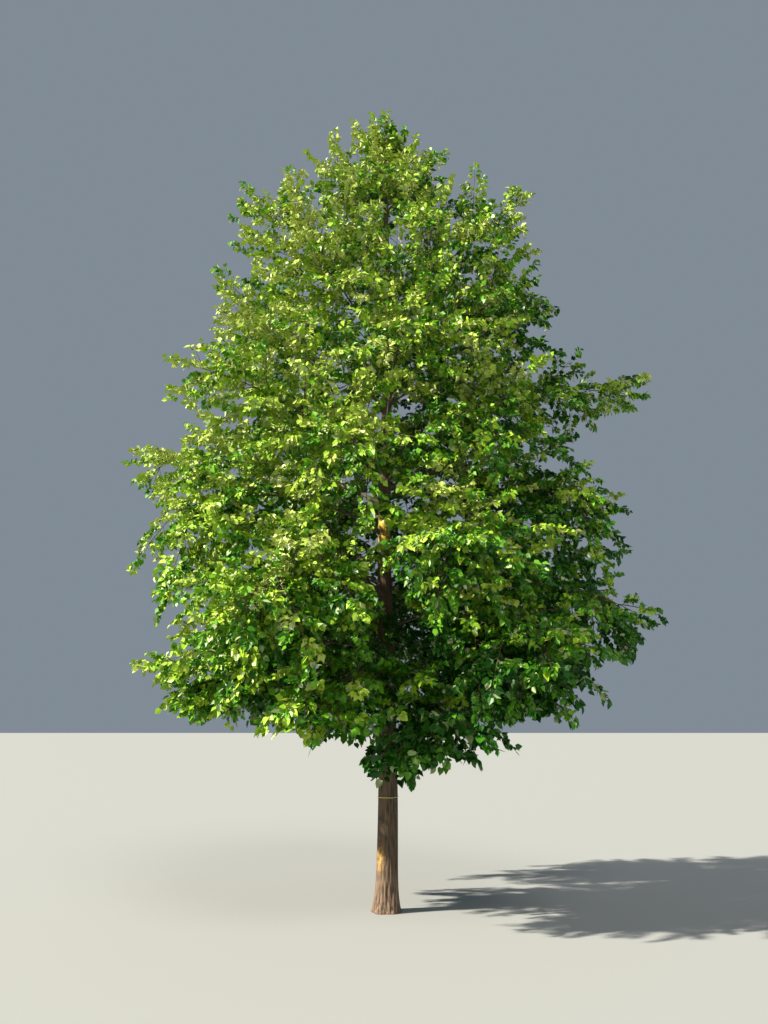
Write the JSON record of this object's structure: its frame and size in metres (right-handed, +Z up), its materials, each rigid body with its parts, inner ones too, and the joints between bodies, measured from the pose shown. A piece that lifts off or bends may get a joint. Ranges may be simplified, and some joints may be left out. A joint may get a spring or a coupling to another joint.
{
  "type": "large-leaved linden",
  "caption": "Young broad-leaved linden tree: straight trunk with a root flare, tapering boughs in a spiral and leafy masses that make a full, egg-shaped crown.",
  "frame": {"origin": "middle of the flat cut under the trunk, at ground level", "axes": "+Z up along the trunk, +X to the right and -Y towards the viewer of the picture"},
  "size_m": [5.3083, 4.6461, 7.7705],
  "materials": {
    "bark": "rough grey-brown bark",
    "leaves": "fresh green leaves"
  },
  "bodies": {
    "root": {"trunk": "bark", "bough_01": "bark", "bough_02": "bark", "bough_03": "bark", "bough_04": "bark", "bough_05": "bark", "bough_06": "bark", "bough_07": "bark", "bough_08": "bark", "bough_09": "bark", "bough_10": "bark", "bough_11": "bark", "bough_12": "bark", "bough_13": "bark", "bough_14": "bark", "bough_15": "bark", "bough_16": "bark", "bough_17": "bark", "bough_18": "bark", "bough_19": "bark", "foliage_01": "leaves", "foliage_02": "leaves", "foliage_03": "leaves", "foliage_04": "leaves", "foliage_05": "leaves", "foliage_06": "leaves", "foliage_07": "leaves", "foliage_08": "leaves", "foliage_09": "leaves", "foliage_10": "leaves", "foliage_11": "leaves", "foliage_12": "leaves", "foliage_13": "leaves", "foliage_14": "leaves", "foliage_15": "leaves", "foliage_16": "leaves", "foliage_17": "leaves", "foliage_18": "leaves", "foliage_19": "leaves", "foliage_20": "leaves", "foliage_21": "leaves", "foliage_22": "leaves", "foliage_23": "leaves", "foliage_24": "leaves", "foliage_25": "leaves", "foliage_26": "leaves", "foliage_27": "leaves", "foliage_28": "leaves", "foliage_29": "leaves", "foliage_30": "leaves", "foliage_31": "leaves", "foliage_32": "leaves", "foliage_33": "leaves", "foliage_34": "leaves", "foliage_35": "leaves", "foliage_36": "leaves", "foliage_leader": "leaves", "foliage_low_left": "leaves", "foliage_low_right": "leaves", "foliage_sprouts": "leaves"}
  },
  "joints": []
}
